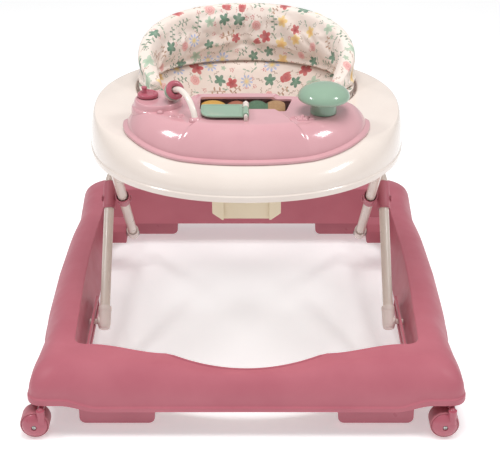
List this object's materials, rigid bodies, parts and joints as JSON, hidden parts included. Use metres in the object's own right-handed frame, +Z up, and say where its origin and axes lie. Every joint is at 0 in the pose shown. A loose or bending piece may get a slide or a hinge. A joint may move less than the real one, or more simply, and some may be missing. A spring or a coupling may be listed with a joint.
{
  "type": "baby walker",
  "caption": "Foldable baby walker: wheeled ring base, crossing tube legs, tray ring with padded fabric seat and lift-off toy tray.",
  "frame": {"origin": "on the floor, under the middle of the walker's bounding box", "axes": "+Z up, +Y towards the backrest, -Y towards the toy tray's front, +X to the right seen from the front"},
  "size_m": [0.6195, 0.702, 0.476],
  "materials": {
    "base_pink": "fine matte moulded polypropylene",
    "rose_plastic": "satin moulded plastic",
    "steel": "bright zinc plate",
    "tube_cream": "smooth cream powder coat",
    "cap_white": "satin moulded plastic",
    "tray_cream": "high gloss moulded plastic",
    "handle_beige": "satin moulded plastic",
    "seat_fabric": "woven polyester with a printed flower pattern",
    "toy_pink": "high gloss moulded plastic",
    "card": "printed card",
    "toy_green": "gloss moulded plastic"
  },
  "bodies": {
    "base": {"base_shell": "base_pink", "front_stopper_left": "rose_plastic", "rear_stopper_left": "rose_plastic", "front_stopper_right": "rose_plastic", "rear_stopper_right": "rose_plastic", "pivot_post_left": "base_pink", "slider_track_left": "base_pink", "pivot_post_right": "base_pink", "slider_track_right": "base_pink", "rear_pivot_pin_left": "steel", "rear_pivot_pin_right": "steel"},
    "inner_legs": {"inner_leg_tube": "tube_cream", "inner_leg_clamp_left": "base_pink", "inner_leg_clamp_right": "base_pink", "cross_pin_left": "base_pink", "inner_leg_cap_left": "cap_white", "cross_pin_right": "base_pink", "inner_leg_cap_right": "cap_white"},
    "outer_legs": {"outer_leg_tube": "tube_cream", "outer_leg_sleeve_left": "base_pink", "outer_leg_sleeve_right": "base_pink", "outer_leg_cap_left": "cap_white", "outer_leg_cap_right": "cap_white"},
    "tray": {"tray_ring": "tray_cream", "leg_bracket_left": "tray_cream", "leg_bracket_right": "tray_cream", "height_rack": "tray_cream", "seat_hoop": "cap_white", "seat_sling": "seat_fabric", "seat_backrest": "seat_fabric"},
    "handle": {"release_handle": "handle_beige"},
    "toy_tray": {"toy_tray": "toy_pink", "picture_card": "card", "page_binder": "cap_white", "bead_arch": "tray_cream", "mushroom_post": "toy_green"},
    "page": {"flip_page": "toy_green"},
    "dial": {"toy_dial": "rose_plastic"},
    "mushroom": {"mushroom_cap": "toy_green"},
    "ring_pink": {"bead_ring_pink": "rose_plastic"},
    "ring_green": {"bead_ring_green": "toy_green"},
    "ring_cream": {"bead_ring_cream": "tray_cream"},
    "caster_front_left": {"caster_fork_front_left": "base_pink", "caster_axle_front_left": "steel"},
    "wheel_front_left": {"caster_wheel_front_left": "rose_plastic"},
    "caster_front_right": {"caster_fork_front_right": "base_pink", "caster_axle_front_right": "steel"},
    "wheel_front_right": {"caster_wheel_front_right": "rose_plastic"},
    "caster_rear_left": {"caster_fork_rear_left": "base_pink", "caster_axle_rear_left": "steel"},
    "wheel_rear_left": {"caster_wheel_rear_left": "rose_plastic"},
    "caster_rear_right": {"caster_fork_rear_right": "base_pink", "caster_axle_rear_right": "steel"},
    "wheel_rear_right": {"caster_wheel_rear_right": "rose_plastic"}
  },
  "joints": [
    {"name": "leg_fold", "type": "hinge", "parent": "base", "child": "inner_legs", "pos_m": [0, 0.164, 0.066], "axis": [1, 0, 0], "range_deg": [-9, 31]},
    {"name": "leg_cross", "type": "hinge", "parent": "inner_legs", "child": "outer_legs", "pos_m": [0, 0.01365, 0.2009], "axis": [1, 0, 0], "range_deg": [-62, 18]},
    {"name": "tray_level", "type": "hinge", "parent": "outer_legs", "child": "tray", "pos_m": [0, 0.13497, 0.30976], "axis": [1, 0, 0], "range_deg": [-9, 31]},
    {"name": "handle_pull", "type": "slide", "parent": "tray", "child": "handle", "axis": [0, -1, 0], "range_m": [0, 0.012], "stiffness_N_per_m": 400, "springref_m": -0.002},
    {"name": "toy_tray_lift", "type": "slide", "parent": "tray", "child": "toy_tray", "axis": [0, 0, 1], "range_m": [0, 0.1]},
    {"name": "page_turn", "type": "hinge", "parent": "toy_tray", "child": "page", "pos_m": [-0.001, -0.15, 0.414], "axis": [0, 1, 0], "range_deg": [0, 172]},
    {"name": "dial_spin", "type": "hinge", "parent": "toy_tray", "child": "dial", "pos_m": [-0.141, -0.092, 0.414], "axis": [0, 0, 1], "continuous": true},
    {"name": "mushroom_spin", "type": "hinge", "parent": "toy_tray", "child": "mushroom", "pos_m": [0.108, -0.136, 0.43], "axis": [0, 0, 1], "continuous": true},
    {"name": "ring_pink_slide", "type": "hinge", "parent": "toy_tray", "child": "ring_pink", "pos_m": [-0.0905, -0.135, 0.3924], "axis": [0.8736, 0.4867, 0], "range_deg": [0, 78]},
    {"name": "ring_green_slide", "type": "hinge", "parent": "toy_tray", "child": "ring_green", "pos_m": [-0.0905, -0.135, 0.3924], "axis": [0.8736, 0.4867, 0], "range_deg": [0, 78]},
    {"name": "ring_cream_slide", "type": "hinge", "parent": "toy_tray", "child": "ring_cream", "pos_m": [-0.0905, -0.135, 0.3924], "axis": [0.8736, 0.4867, 0], "range_deg": [0, 78]},
    {"name": "swivel_front_left", "type": "hinge", "parent": "base", "child": "caster_front_left", "pos_m": [-0.285, -0.332, 0.05], "axis": [0, 0, 1], "continuous": true},
    {"name": "roll_front_left", "type": "hinge", "parent": "caster_front_left", "child": "wheel_front_left", "pos_m": [-0.2945, -0.332, 0.0203], "axis": [0, 1, 0], "continuous": true},
    {"name": "swivel_front_right", "type": "hinge", "parent": "base", "child": "caster_front_right", "pos_m": [0.285, -0.332, 0.05], "axis": [0, 0, 1], "continuous": true},
    {"name": "roll_front_right", "type": "hinge", "parent": "caster_front_right", "child": "wheel_front_right", "pos_m": [0.2755, -0.332, 0.0203], "axis": [0, 1, 0], "continuous": true},
    {"name": "swivel_rear_left", "type": "hinge", "parent": "base", "child": "caster_rear_left", "pos_m": [-0.258, 0.326, 0.05], "axis": [0, 0, 1], "continuous": true},
    {"name": "roll_rear_left", "type": "hinge", "parent": "caster_rear_left", "child": "wheel_rear_left", "pos_m": [-0.2485, 0.326, 0.0203], "axis": [0, 1, 0], "continuous": true},
    {"name": "swivel_rear_right", "type": "hinge", "parent": "base", "child": "caster_rear_right", "pos_m": [0.258, 0.326, 0.05], "axis": [0, 0, 1], "continuous": true},
    {"name": "roll_rear_right", "type": "hinge", "parent": "caster_rear_right", "child": "wheel_rear_right", "pos_m": [0.2675, 0.326, 0.0203], "axis": [0, 1, 0], "continuous": true}
  ],
  "couplings": [
    {"joint": "leg_cross", "follows": "leg_fold", "ratio": -2},
    {"joint": "tray_level", "follows": "leg_fold", "ratio": 1},
    {"joint": "ring_green_slide", "follows": "ring_pink_slide", "ratio": 1},
    {"joint": "ring_cream_slide", "follows": "ring_pink_slide", "ratio": 1}
  ]
}
